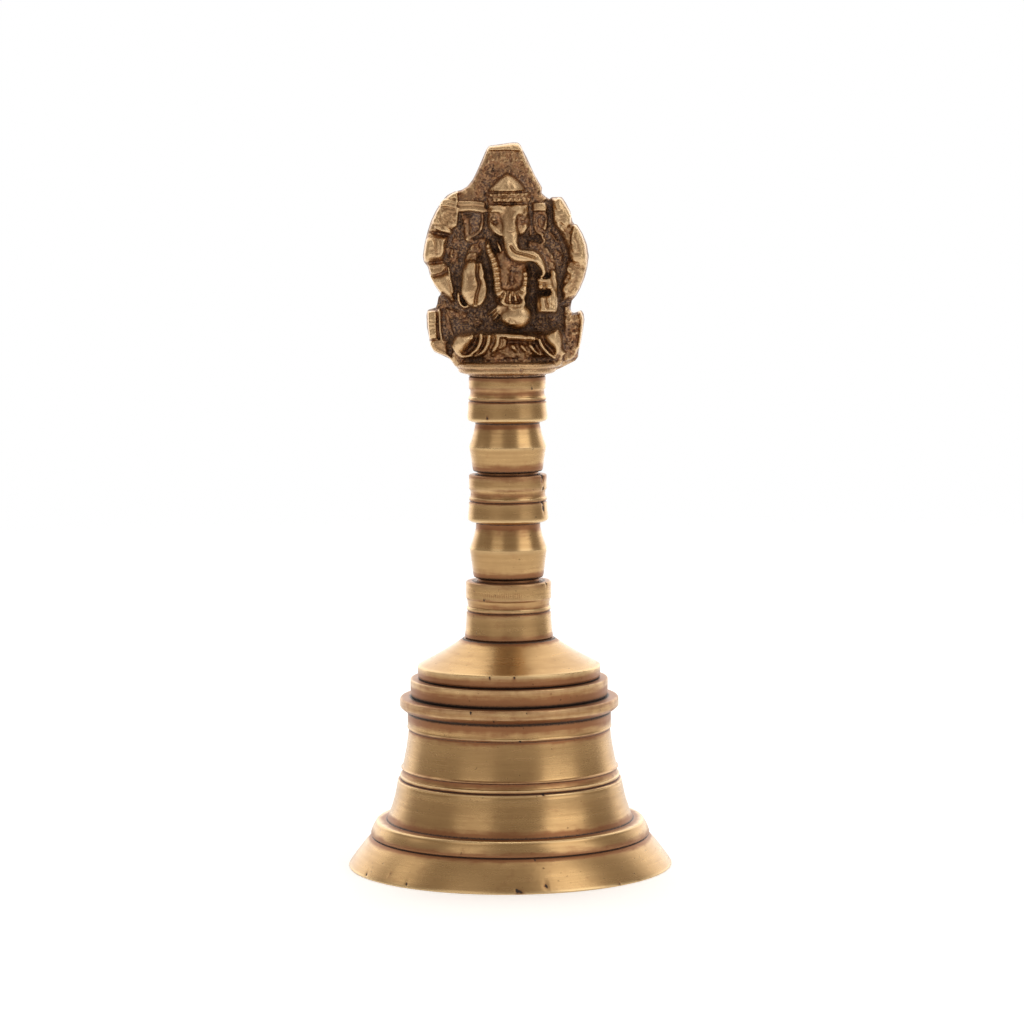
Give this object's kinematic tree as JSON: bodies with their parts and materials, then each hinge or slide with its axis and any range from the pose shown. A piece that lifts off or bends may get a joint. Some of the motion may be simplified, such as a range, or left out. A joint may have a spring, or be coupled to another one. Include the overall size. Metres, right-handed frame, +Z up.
{
  "type": "hand bell",
  "caption": "Brass hand bell with a stacked turned handle, a seated elephant-headed deity finial and a freely swinging clapper.",
  "frame": {"origin": "centre of the mouth's plane, on the axis of the cup and handle", "axes": "+Z up the handle from the mouth to the finial, the figure faces -Y, +X to the viewer's right when facing the figure"},
  "size_m": [0.0705, 0.0704, 0.1563],
  "materials": {
    "cup_brass": "turned and polished, dulled with age",
    "handle_brass": "turned and polished, dulled with age",
    "antique_brass": "cast, dark in the recesses and worn bright on the high points",
    "stud_steel": "plain threaded steel",
    "clapper_brass": "as cast and drawn, tarnished"
  },
  "bodies": {
    "bell": {"bell_cup": "cup_brass", "base_collar": "handle_brass", "lower_handle_segment": "handle_brass", "upper_handle_segment": "handle_brass", "deity_finial": "antique_brass", "handle_stud": "stud_steel", "clapper_eye_bolt": "stud_steel", "crown_washer": "stud_steel"},
    "clapper_link": {"clapper_link": "clapper_brass"},
    "clapper": {"clapper_shank": "clapper_brass", "clapper_ball": "clapper_brass"}
  },
  "joints": [
    {"name": "link_twist", "type": "hinge", "parent": "bell", "child": "clapper_link", "pos_m": [0, 0, 0.03004], "axis": [0, 0, 1], "range_deg": [-25, 25]},
    {"name": "clapper_swing", "type": "hinge", "parent": "clapper_link", "child": "clapper", "pos_m": [0, 0, 0.03004], "axis": [1, 0, 0], "range_deg": [-42, 42]}
  ]
}
